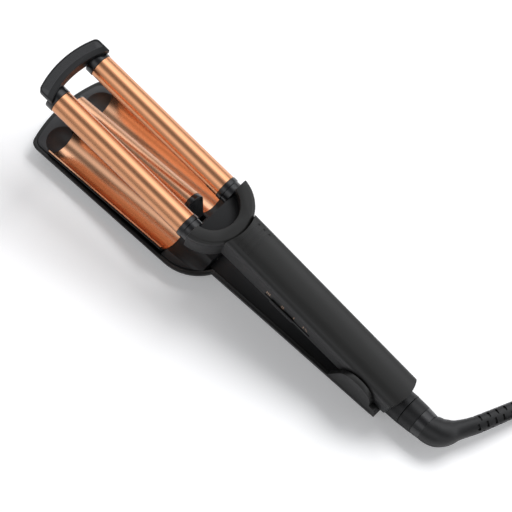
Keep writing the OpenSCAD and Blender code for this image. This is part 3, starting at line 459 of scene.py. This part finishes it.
@dataclass
class Studio:
    """Floor, light and camera.

    Attributes:
        target: the point that the camera looks at, in mm.
        away: unit vector from that point to the camera.
        right: the picture's right.
        up: the picture's up.
        distance: distance of the camera in mm.
        lens: focal length in mm on a 36 mm sensor.
        floor_size: half the floor's side in metres.
        floor_glow: how much brighter the camera sees the floor's paper.
        soft_level: share of the tent's brightness that lights matt surfaces.
        strips: the tent's brightness at each angle in degrees about the arms.
        key_at: place of the key lamp in metres.
        key_aim: the point that it lights, in metres.
        key_size: its two sides in metres.
        key_power: its power in watts.
    """

    target: Vector = field(default_factory=lambda: Vector((-123.3, 6.0, 36.3)))
    away: Vector = field(default_factory=lambda: Vector((0.2748, -0.2888, 0.9171)))
    right: Vector = field(default_factory=lambda: Vector((0.7244, 0.6894, 0.0)))
    up: Vector = field(default_factory=lambda: Vector((-0.6322, 0.6643, 0.3986)))
    distance: float = 1467.0
    lens: float = 137.53
    floor_size: float = 6.0
    floor_glow: float = 0.22
    soft_level: float = 0.56
    strips: tuple[tuple[float, float], ...] = (
        (-179, 0.36), (-95, 0.36), (-64, 0.5), (-50, 1.1), (-36, 1.15), (-24, 0.5), (-14, 0.22), (4, 0.22),
        (15, 0.6), (34, 2.0), (54, 1.65), (84, 0.42), (179, 0.36),
    )
    key_at: tuple[float, float, float] = (-0.05, 0.85, 1.3)
    key_aim: tuple[float, float, float] = (-0.13, 0.0, 0.03)
    key_size: tuple[float, float] = (0.9, 0.6)
    key_power: float = 17.0

    def camera(self) -> None:
        """Makes the camera and hands it to the scene."""
        data = bpy.data.cameras.new("camera")
        data.lens = self.lens
        data.sensor_width = 36.0
        data.clip_start, data.clip_end = 0.05, 20.0
        cam = bpy.data.objects.new("camera", data)
        bpy.context.scene.collection.objects.link(cam)
        turn = Matrix((self.right, self.up, self.away)).transposed().to_4x4()
        cam.matrix_world = Matrix.Translation((self.target + self.away * self.distance) * MM) @ turn
        bpy.context.scene.camera = cam

    def floor(self) -> None:
        """Makes the plain pale floor."""
        bm = bmesh.new()
        bmesh.ops.create_grid(bm, x_segments=1, y_segments=1, size=self.floor_size)
        mesh = bpy.data.meshes.new("floor")
        bm.to_mesh(mesh)
        bm.free()
        obj = bpy.data.objects.new("floor", mesh)
        bpy.context.scene.collection.objects.link(obj)
        mat = bpy.data.materials.new("floor_paper")
        mat.use_nodes = True
        shader = mat.node_tree.nodes["Principled BSDF"]
        shader.inputs["Base Color"].default_value = (0.93, 0.93, 0.94, 1.0)
        shader.inputs["Roughness"].default_value = 0.9
        shader.inputs["Specular IOR Level"].default_value = 0.1
        seen = mat.node_tree.nodes.new("ShaderNodeLightPath")
        glow = maths(mat.node_tree, "MULTIPLY", seen.outputs["Is Camera Ray"], self.floor_glow)
        shader.inputs["Emission Color"].default_value = (1.0, 1.0, 1.0, 1.0)
        mat.node_tree.links.new(glow, shader.inputs["Emission Strength"])
        obj.data.materials.append(mat)

    def key_lamp(self) -> None:
        """Adds the one soft area lamp, which no glossy surface mirrors."""
        data = bpy.data.lights.new("key", "AREA")
        data.shape = "RECTANGLE"
        data.size, data.size_y = self.key_size
        data.energy = self.key_power
        lamp = bpy.data.objects.new("key", data)
        bpy.context.scene.collection.objects.link(lamp)
        lamp.visible_glossy = False
        at, aim = Vector(self.key_at), Vector(self.key_aim)
        lamp.location = at
        lamp.rotation_mode = "QUATERNION"
        lamp.rotation_quaternion = (at - aim).to_track_quat("Z", "Y")

    def tent(self, tree: bpy.types.NodeTree) -> bpy.types.NodeSocket:
        """Brightness of the light tent, which runs in long strips beside the waver.

        Args:
            tree: the world's tree.

        Returns:
            The brightness by direction: an angle about the arms, from above towards the far side.
        """
        way = tree.nodes.new("ShaderNodeTexCoord").outputs["Generated"]
        lift = tree.nodes.new("ShaderNodeVectorMath")
        lift.operation = "DOT_PRODUCT"
        rise = math.radians(REST_ANGLE)
        lift.inputs[1].default_value = (math.sin(rise), 0.0, math.cos(rise))
        split = tree.nodes.new("ShaderNodeSeparateXYZ")
        tree.links.new(way, lift.inputs[0])
        tree.links.new(way, split.inputs[0])
        turn = maths(tree, "ARCTAN2", split.outputs["Y"], lift.outputs["Value"])
        share = maths(tree, "ADD", maths(tree, "DIVIDE", turn, 2 * math.pi), 0.5)
        ramp = tree.nodes.new("ShaderNodeValToRGB")
        tree.links.new(share, ramp.inputs[0])
        stops = ramp.color_ramp.elements
        for at, _ in self.strips[1:-1]:
            stops.new(at / 360 + 0.5)
        for stop, (at, level) in zip(stops, self.strips):
            stop.position = at / 360 + 0.5
            stop.color = (*[level / RAMP_TOP] * 3, 1.0)
        return maths(tree, "MULTIPLY", ramp.outputs[0], RAMP_TOP)

    def light(self) -> None:
        """Sets the light tent and the key lamp."""
        world = bpy.data.worlds.new("studio")
        bpy.context.scene.world = world
        world.use_nodes = True
        tree = world.node_tree
        back = tree.nodes["Background"]
        back.inputs["Color"].default_value = (0.96, 0.975, 1.0, 1.0)
        seen = tree.nodes.new("ShaderNodeLightPath")
        mirrored = maths(tree, "MAXIMUM", seen.outputs["Is Glossy Ray"], seen.outputs["Is Transmission Ray"])
        level = maths(tree, "MAXIMUM", mirrored, self.soft_level)
        bright = maths(tree, "MULTIPLY", self.tent(tree), level)
        strength = maths(tree, "MAXIMUM", bright, seen.outputs["Is Camera Ray"])
        tree.links.new(strength, back.inputs["Strength"])
        self.key_lamp()

    def build(self) -> None:
        """Makes the camera, the floor and the light."""
        self.camera()
        self.floor()
        self.light()
        bpy.context.scene.view_settings.view_transform = "Standard"
        log.info("studio ready")


@dataclass
class Cord:
    """The cord from the boot's end over the coil to the plug.

    Attributes:
        radius: its radius in mm.
        centre: middle of the coil in mm.
        first: angle at which the cord joins the coil, in degrees.
        last: angle at which it leaves it.
        inner: radius of the coil's innermost turn in mm.
        outer: radius of its outermost turn.
        points_per_turn: points of the route in a turn.
        lead_in: route from the boot to the coil, in mm.
        lead_out: route from the coil to the plug, in mm.
    """

    radius: float = 3.0
    centre: tuple[float, float] = (156.0, 79.0)
    first: float = 160.66
    last: float = 95.0
    inner: float = 24.0
    outer: float = 48.0
    points_per_turn: int = 20
    lead_in: list[tuple[float, float, float]] = field(default_factory=lambda: [
        (97, 67.8, 9.8), (98, 70.5, 9.1), (101, 76.2, 7.4), (104.2, 81.2, 5.7), (107.2, 86.4, 4.3),
        (109.3, 90.8, 3.4),
    ])
    lead_out: list[tuple[float, float, float]] = field(default_factory=lambda: [
        (159, 122, 11.5), (166, 119.7, 13.8), (171.5, 115, 16), (175.5, 109, 18), (178, 102.5, 18.9),
        (179, 97, 18.9),
    ])

    def coil(self) -> list[tuple[float, float, float]]:
        """Centre line of the coil: a layer wound inwards, one climbing turn, a layer wound outwards."""
        pitch = 2 * self.radius
        down = (self.outer - self.inner) / pitch
        turns = 2 * down + (self.first - self.last) / 360
        count = int(turns * self.points_per_turn)
        line = []
        for i in range(count + 1):
            t = turns * i / count
            if t < down:
                r, z = self.outer - pitch * t, self.radius
            elif t < down + 1:
                r, z = self.inner, self.radius + pitch * (t - down)
            else:
                r, z = self.inner + pitch * (t - down - 1), self.radius + pitch
            a = math.radians(self.first - 360 * t)
            line.append((self.centre[0] + r * math.cos(a), self.centre[1] + r * math.sin(a), z))
        return line

    def build(self) -> None:
        route = in_metres(self.lead_in + self.coil() + self.lead_out)
        data = bpy.data.curves.new("cord_run", "CURVE")
        data.dimensions = "3D"
        data.bevel_depth = self.radius * MM
        data.bevel_resolution = 4
        data.use_fill_caps = True
        spline = data.splines.new("NURBS")
        spline.points.add(len(route) - 1)
        for point, p in zip(spline.points, route):
            point.co = (*p, 1.0)
        spline.order_u = 4
        spline.use_endpoint_u = True
        spline.resolution_u = 3
        cord = bpy.data.objects.new("cord_run", data)
        bpy.context.scene.collection.objects.link(cord)
        paint(cord, RUBBER)
        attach(cord, Part.CORD.value)
        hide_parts("cord_tube", "cord_coil", "cord_tail")
        log.info("cord: %.2f m", sum((b - a).length for a, b in zip(route, route[1:])))


@dataclass
class Barrels:
    """The two round barrels.

    Attributes:
        start: distance of their root ends from the hinge in mm.
        end: distance of their tip ends.
        radius: their radius.
        wall: thickness of their wall.
        chamfer: chamfer at their ends.
    """

    start: float = 173.3
    end: float = 304.3
    radius: float = 9.5
    wall: float = 1.2
    chamfer: float = 0.25

    def build(self) -> None:
        """Replaces both CAD barrels by finer turned ones."""
        for name, side in (("left", 1.0), ("right", -1.0)):
            bm = bmesh.new()
            bore, rim = self.radius - self.wall, self.radius - self.chamfer
            profile = [
                (self.start, bore), (self.start, rim), (self.start + self.chamfer, self.radius),
                (self.end - self.chamfer, self.radius), (self.end, rim), (self.end, bore),
                (self.start, bore),
            ]
            lathe(bm, profile, arm_frame() @ Matrix.Translation((0, side * BARREL_Y, BARREL_H)))
            obj = add_piece(f"{name}_copper_barrel", bm, COPPER, Part.UPPER)
            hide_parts(f"{name}_barrel")
            log.info("%s barrel", name)


@dataclass
class WavePlate:
    """The waved plate: a rounded ridge between two troughs, one folded sheet.

    Attributes:
        start: distance of its root edge from the hinge in mm.
        end: distance of its tip edge in mm.
        trough: radius of the troughs.
        ridge: radius of the ridge's top.
        rise: height of the ridge's centre over the troughs' centres.
        thick: thickness of the sheet.
        steps: points in a quarter turn.
    """

    start: float = 184.0
    end: float = 307.5
    trough: float = 13.2
    ridge: float = 9.3
    rise: float = 23.2
    thick: float = 1.0
    steps: int = 30

    def arc(self, y: float, z: float, radius: float, first: float, last: float) -> list[tuple[float, float]]:
        """Points of an arc about (y, z), angles in degrees."""
        count = max(2, round(abs(last - first) / 90 * self.steps))
        angles = [math.radians(first + (last - first) * i / count) for i in range(count + 1)]
        return [(y + radius * math.cos(a), z + radius * math.sin(a)) for a in angles]

    def half(self, inset: float) -> list[tuple[float, float]]:
        """Section from the middle of the ridge to the outer lip, inset under the hair's side."""
        gap = math.hypot(BARREL_Y, self.rise)
        down = math.atan2(BARREL_Y, self.rise) + math.acos((self.ridge + self.trough) / gap)
        lean = math.degrees(down) - 90
        ridge = self.arc(0, BARREL_H + self.rise, self.ridge - inset, 90, lean)
        return ridge + self.arc(BARREL_Y, BARREL_H, self.trough + inset, 180 + lean, 360)

    def build(self) -> None:
        """Folds the sheet and replaces the CAD plate."""
        over, under = self.half(0.0), self.half(self.thick)
        outline = [(-y, z) for y, z in reversed(over[1:])] + over
        outline += list(reversed([(-y, z) for y, z in reversed(under[1:])] + under))
        bm = bmesh.new()
        face = bm.faces.new([bm.verts.new((self.start, y, z)) for y, z in outline])
        made = bmesh.ops.extrude_face_region(bm, geom=[face], use_keep_orig=True)
        moved = [v for v in made["geom"] if isinstance(v, bmesh.types.BMVert)]
        bmesh.ops.translate(bm, vec=(self.end - self.start, 0, 0), verts=moved)
        bmesh.ops.recalc_face_normals(bm, faces=bm.faces)
        bmesh.ops.triangulate(bm, faces=[f for f in bm.faces if len(f.verts) > 4])
        bmesh.ops.transform(bm, matrix=closed_frame(), verts=bm.verts)
        obj = add_piece("folded_wave_plate", bm, PLATE_COPPER, Part.LOWER, limit=25.0)
        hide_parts("wave_plate")
        log.info("waved plate")


@dataclass
class Boot:
    """The rubber elbow and strain relief, its sleeve pierced by rows of short slots.

    Attributes:
        line: centre line in mm, from the swivel to the cord.
        radii: its radius at each of those points.
        smooth_steps: points between two of the line's.
        step: distance between rings in mm.
        sides: faces round the boot.
        rows: rows of slots round it.
        first_slot: plain length at the swivel's end, in mm.
        last_gap: plain length at the cord's end, in mm.
        slot_rings: width of a slot in rings.
        pitch_rings: distance between slots in a row, in rings.
        slot_sides: length of a slot in faces.
        lead: turn of the first row, in faces.
        slot_rim: how far a slot's walls lean in, in mm.
        slot_depth: its depth in mm.
    """

    line: tuple[tuple[float, float, float], ...] = (
        (56.3, 0, 15.8), (58.3, 0, 15.8), (61, 0.7, 15.8), (64, 2.2, 15.8), (67.5, 5, 15.7),
        (70.5, 8.8, 15.6), (73.2, 13, 15.5), (77, 19.3, 15.2), (80.6, 26, 14.9), (85, 36.5, 14.2),
        (89, 46.5, 13.2), (92, 54.5, 12.1), (95, 62.5, 10.8), (97, 67.8, 9.8), (98.6, 72.1, 8.7),
    )
    radii: tuple[float, ...] = (11, 11, 11.2, 11.2, 10.4, 9.2, 7.6, 6.9, 6.7, 6.5, 6.3, 6.1, 5.7, 5.2, 4.4)
    smooth_steps: int = 20
    step: float = 0.85
    sides: int = 48
    rows: int = 6
    first_slot: float = 36.0
    last_gap: float = 6.0
    slot_rings: int = 2
    pitch_rings: int = 8
    slot_sides: int = 6
    lead: int = 2
    slot_rim: float = 0.18
    slot_depth: float = 1.4

    def route(self) -> list[tuple[Vector, float]]:
        """Evenly spaced points of the smooth line through the given ones, with their radii."""
        points = [Vector((*p, r)) for p, r in zip(self.line, self.radii)]
        ends = [2 * points[0] - points[1]] + points + [2 * points[-1] - points[-2]]
        fine = []
        for a, b, c, d in zip(ends, ends[1:], ends[2:], ends[3:]):
            for i in range(self.smooth_steps):
                t = i / self.smooth_steps
                square, cube = 2 * a - 5 * b + 4 * c - d, 3 * b - a - 3 * c + d
                fine.append(0.5 * (2 * b + (c - a) * t + square * t**2 + cube * t**3))
        fine.append(points[-1])
        even, run = [fine[0]], 0.0
        for a, b in zip(fine, fine[1:]):
            run += (b.xyz - a.xyz).length
            if run >= self.step:
                even.append(b)
                run -= self.step
        return [(p.xyz, p.w) for p in even]

    def places(self) -> list[Matrix]:
        """A frame at each ring, turned as little as the line allows, scaled to its radius."""
        route = self.route()
        turn = Matrix.Rotation(math.pi / 2, 4, "Y").to_quaternion()
        heading = Vector((1, 0, 0))
        frames = []
        for i, (at, radius) in enumerate(route):
            ahead = (route[min(i + 1, len(route) - 1)][0] - route[max(i - 1, 0)][0]).normalized()
            turn = heading.rotation_difference(ahead) @ turn
            heading = ahead
            frames.append(Matrix.Translation(at) @ turn.to_matrix().to_4x4() @ Matrix.Scale(radius, 4))
        return frames

    def slot_at(self, ring: int, side: int) -> tuple[int, int] | None:
        """Row and number of the slot at this ring and side, or None between the slots."""
        row, across = divmod((side - self.lead) % self.sides, self.sides // self.rows)
        shift = self.pitch_rings // 2 if row % 2 else 0
        number, along = divmod(ring + shift, self.pitch_rings)
        return (row, number) if across < self.slot_sides and along < self.slot_rings else None

    def sleeve(self, bm: bmesh.types.BMesh) -> list[list[bmesh.types.BMFace]]:
        """Draws the plain sleeve ring by ring.

        Args:
            bm: the mesh that it goes into, in mm.

        Returns:
            The faces of each slot, which are still flush.
        """
        places = self.places()
        base = bmesh.ops.create_circle(bm, cap_ends=False, radius=1.0, segments=self.sides)["verts"]
        bmesh.ops.transform(bm, matrix=places[0], verts=base)
        edges = list(bm.edges)
        ends = [edges]
        first, last = round(self.first_slot / self.step), len(places) - round(self.last_gap / self.step)
        slots: dict[tuple[int, int], list[bmesh.types.BMFace]] = {}
        for ring in range(1, len(places)):
            made = bmesh.ops.extrude_edge_only(bm, edges=edges)["geom"]
            verts = [v for v in made if isinstance(v, bmesh.types.BMVert)]
            bmesh.ops.transform(bm, matrix=places[ring] @ places[ring - 1].inverted(), verts=verts)
            new_edges = [e for e in made if isinstance(e, bmesh.types.BMEdge)]
            edges = [e for e in new_edges if all(v in verts for v in e.verts)]
            if not first <= ring < last:
                continue
            back = places[ring].inverted()
            for face in [f for f in made if isinstance(f, bmesh.types.BMFace)]:
                flat = back @ face.calc_center_median()
                side = int((math.atan2(flat.y, flat.x) / (2 * math.pi) % 1.0) * self.sides)
                slot = self.slot_at(ring, side)
                if slot:
                    slots.setdefault(slot, []).append(face)
        ends.append(edges)
        for loop in ends:
            bmesh.ops.holes_fill(bm, edges=loop, sides=0)
        bmesh.ops.recalc_face_normals(bm, faces=bm.faces)
        return list(slots.values())

    def build(self) -> None:
        """Draws the sleeve, sinks its slots and replaces the CAD boot."""
        bm = bmesh.new()
        slots = self.sleeve(bm)
        for faces in slots:
            bmesh.ops.inset_region(
                bm, faces=faces, thickness=self.slot_rim, depth=-self.slot_depth, use_even_offset=True,
            )
        bmesh.ops.scale(bm, vec=(MM, MM, MM), verts=bm.verts)
        obj = add_piece("slotted_boot", bm, RUBBER, Part.CORD, limit=40.0)
        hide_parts("cord_boot")
        log.info("boot: %d slots", len(slots))


@dataclass
class BridgePad:
    """The studded pad in the tip bridge's top.

    Attributes:
        centre: distance of the bridge's arc centre from the hinge, in mm.
        inner: radius of the innermost row of studs.
        outer: radius of the outermost row.
        rows: rows of studs.
        half_angle: angle to either side that the rows span, in degrees.
        pitch: distance between studs along a row.
        top: height of the studs' tops over the hinge.
        stud: size of a stud across the rows, along them and in height.
    """

    centre: float = 242.4
    inner: float = 75.3
    outer: float = 80.1
    rows: int = 6
    half_angle: float = 19.0
    pitch: float = 1.05
    top: float = 17.35
    stud: tuple[float, float, float] = (0.62, 0.66, 0.35)

    def build(self) -> None:
        """Adds the studs to a copy of the CAD pad."""
        bm = merged_copy("bridge_pad")
        columns = round(2 * math.radians(self.half_angle) * self.outer / self.pitch)
        for row in range(self.rows):
            radius = self.inner + (self.outer - self.inner) * row / (self.rows - 1)
            for column in range(columns + 1):
                angle = math.radians(self.half_angle) * (2 * column / columns - 1)
                place = (
                    arm_frame() @ Matrix.Translation((self.centre, 0, self.top - self.stud[2] / 2))
                    @ Matrix.Rotation(angle, 4, "Z") @ Matrix.Translation((radius, 0, 0))
                    @ Matrix.Diagonal((*self.stud, 1.0))
                )
                bmesh.ops.create_cube(bm, size=1.0, matrix=place)
        obj = add_piece("studded_pad", bm, PAD_GREY, Part.UPPER)
        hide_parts("bridge_pad")
        log.info("bridge pad: %d studs", self.rows * (columns + 1))


@dataclass
class Settings:
    """The slide button's ribs and the plain marks I, II, III and I/0 beside its way.

    Attributes:
        face: distance of the frame's side from the middle, in mm.
        low: height of the marks' feet over the hinge.
        tall: height of a stroke.
        wide: width of a stroke.
        thick: thickness of the print.
        strokes: distance of each upright stroke from the hinge.
        ring_at: distance of the 0 from the hinge.
        ring_narrow: width of the 0 over its height.
        slash_at: distance of the slash.
        slash_lean: its lean in degrees.
        knob_at: distance of the slide button's middle from the hinge.
        knob_up: height of its middle over the hinge.
        knob_face: distance of its face from the arm's middle.
        ribs: ribs on it.
        rib_pitch: distance between them.
        rib: size of a rib along the arm, outwards and up.
        rib_round: rounding of its edges.
        knob_round: rounding of the button's edges.
    """

    face: float = 15.6
    low: float = 4.7
    tall: float = 4.5
    wide: float = 0.6
    thick: float = 0.04
    strokes: tuple[float, ...] = (94.5, 93.1, 91.7, 79.3, 77.9, 67.1, 57.4)
    ring_at: float = 51.4
    ring_narrow: float = 0.75
    slash_at: float = 54.6
    slash_lean: float = 28.0
    knob_at: float = 77.8
    knob_up: float = 1.0
    knob_face: float = 17.1
    ribs: int = 7
    rib_pitch: float = 2.2
    rib: tuple[float, float, float] = (0.9, 0.7, 3.6)
    rib_round: float = 0.15
    knob_round: float = 0.4

    def stroke(self, bm: bmesh.types.BMesh, x: float, lean: float = 0.0) -> None:
        """Adds one stroke at x, leaning by that many degrees."""
        size = Matrix.Diagonal((self.wide, self.thick, self.tall, 1.0))
        place = (
            arm_frame() @ Matrix.Translation((x, self.face + self.thick / 2, self.low + self.tall / 2))
            @ Matrix.Rotation(math.radians(lean), 4, "Y") @ size
        )
        bmesh.ops.create_cube(bm, size=1.0, matrix=place)

    def nought(self, bm: bmesh.types.BMesh) -> None:
        """Adds the 0, a narrow ring."""
        ring = bmesh.new()
        bmesh.ops.create_circle(ring, cap_ends=True, radius=self.tall / 2, segments=24)
        inner = bmesh.ops.inset_region(ring, faces=ring.faces[:], thickness=self.wide, depth=0.0)["faces"]
        bmesh.ops.delete(ring, geom=[f for f in ring.faces if f not in inner], context="FACES_ONLY")
        bmesh.ops.solidify(ring, geom=ring.faces[:], thickness=self.thick)
        at = (self.ring_at, self.face + self.thick, self.low + self.tall / 2)
        place = (
            arm_frame() @ Matrix.Translation(at) @ Matrix.Rotation(-math.pi / 2, 4, "X")
            @ Matrix.Diagonal((self.ring_narrow, 1.0, 1.0, 1.0))
        )
        bmesh.ops.transform(ring, matrix=place, verts=ring.verts)
        bmesh.ops.recalc_face_normals(ring, faces=ring.faces)
        mesh = bpy.data.meshes.new("nought")
        ring.to_mesh(mesh)
        ring.free()
        bm.from_mesh(mesh)
        bpy.data.meshes.remove(mesh)

    def marks(self) -> None:
        """Prints the marks on the frame's near side."""
        bm = bmesh.new()
        for x in self.strokes:
            self.stroke(bm, x)
        self.stroke(bm, self.slash_at, lean=self.slash_lean)
        self.nought(bm)
        add_piece("setting_marks", bm, PRINT, Part.UPPER)

    def knob(self) -> None:
        """Rounds the slide button and gives it ribs."""
        bm = rounded("temp_slider", self.knob_round)
        for i in range(self.ribs):
            x = self.knob_at + (i - (self.ribs - 1) / 2) * self.rib_pitch
            place = (
                arm_frame() @ Matrix.Translation((x, self.knob_face, self.knob_up))
                @ Matrix.Diagonal((*self.rib, 1.0))
            )
            made = bmesh.ops.create_cube(bm, size=1.0, matrix=place)["verts"]
            edges = {e for v in made for e in v.link_edges}
            bmesh.ops.bevel(
                bm, geom=list(edges), offset=self.rib_round * MM, segments=2, profile=0.5,
                affect="EDGES", material=-1,
            )
        obj = add_piece("ribbed_slide_button", bm, MATT_BLACK, Part.SLIDER, limit=40.0)
        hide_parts("temp_slider")

    def build(self) -> None:
        """Builds the marks and the button."""
        self.marks()
        self.knob()
        log.info("marks and slide button")


@dataclass
class CordEnd:
    """The plug and the tie on the coil.

    Attributes:
        plug_round: rounding of the plug's edges in mm.
        ribs: grip ribs on each side of the plug.
        rib_side: distance of the ribs from the plug's middle.
        rib_first: distance of the first one from the pins' end.
        rib_pitch: distance between them.
        rib: size of a rib across the plug, along it and up.
        tie_round: rounding of the tie's edges.
    """

    plug_round: float = 2.2
    ribs: int = 5
    rib_side: float = 16.9
    rib_first: float = 6.0
    rib_pitch: float = 3.2
    rib: tuple[float, float, float] = (1.2, 1.2, 8.0)
    tie_round: float = 0.25

    def build(self) -> None:
        """Rounds the plug, gives it grip ribs, and rounds the tie."""
        bm = rounded("plug_body", self.plug_round, limit=30.0, steps=4)
        low, high = (Vector(corner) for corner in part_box("plug_body"))
        middle = (low + high) / 2
        size = Matrix.Diagonal((*(Vector(self.rib) * MM), 1.0))
        for i in range(self.ribs):
            y = low.y + (self.rib_first + self.rib_pitch * i) * MM
            for side in (-1, 1):
                at = Vector((middle.x + side * self.rib_side * MM, y, middle.z))
                bmesh.ops.create_cube(bm, size=1.0, matrix=Matrix.Translation(at) @ size)
        obj = add_piece("ribbed_plug", bm, RUBBER, Part.CORD, limit=40.0)
        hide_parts("plug_body")
        softened("cord_tie", "hook_and_loop_tie", TIE, Part.CORD, self.tie_round)
        log.info("plug and tie")


@dataclass(frozen=True)
class Moulding:
    """A moulding of the CAD model that gets rounded edges.

    Attributes:
        node: the CAD node.
        finish: its finish.
        part: the body that it rides on.
        slot: name of a material slot; not used.
        width: width of the rounding in mm.
    """

    node: str
    finish: Finish
    part: Part
    slot: str
    width: float

    def build(self) -> None:
        """Replaces the node by a copy with rounded edges."""
        softened(self.node, f"{self.node}_moulding", self.finish, self.part, self.width)
        log.info("moulding over %s", self.node)


MOULDINGS = [
    Moulding("lower_shell", SOFT_BLACK, Part.LOWER, "soft_black", 0.7),
    Moulding("upper_shell", SOFT_BLACK, Part.UPPER, "soft_black", 0.5),
    Moulding("yoke_cover", SOFT_BLACK, Part.UPPER, "soft_black", 0.5),
    Moulding("upper_frame", DARK_GREY, Part.UPPER, "dark_grey", 0.4),
    Moulding("tip_block", TIP_GREY, Part.LOWER, "dark_grey", 0.5),
    Moulding("root_block", MATT_BLACK, Part.LOWER, "dark_grey", 0.5),
    Moulding("tip_bridge", MATT_BLACK, Part.UPPER, "moulded_black", 1.2),
    Moulding("channel_cover", MATT_BLACK, Part.LOWER, "moulded_black", 0.4),
    Moulding("barrel_mount", MATT_BLACK, Part.UPPER, "moulded_black", 0.3),
    Moulding("swivel_neck", MATT_BLACK, Part.LOWER, "moulded_black", 0.5),
    Moulding("swivel_barrel", MATT_BLACK, Part.CORD, "moulded_black", 0.45),
    Moulding("swivel_collar", GLOSS_BLACK, Part.CORD, "dark_grey", 0.45),
    Moulding("ridge_root_cap", GLOSS_BLACK, Part.LOWER, "gloss_black", 0.6),
    *(
        Moulding(f"{side}_{end}_collar", GLOSS_BLACK, Part.UPPER, "gloss_black", 0.35)
        for end in ("root", "tip") for side in ("left", "right")
    ),
]


def dress_frame() -> None:
    """Gives every CAD node its finish."""
    for finish, nodes in CAD_FINISHES.items():
        for node in nodes:
            paint(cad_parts[node], finish)


def main() -> None:
    """Builds the waver and its studio."""
    dress_frame()
    Studio().build()
    Boot().build()
    CordEnd().build()
    Cord().build()
    Barrels().build()
    WavePlate().build()
    BridgePad().build()
    Settings().build()
    for moulding in MOULDINGS:
        moulding.build()


if __name__ == "__main__":
    main()
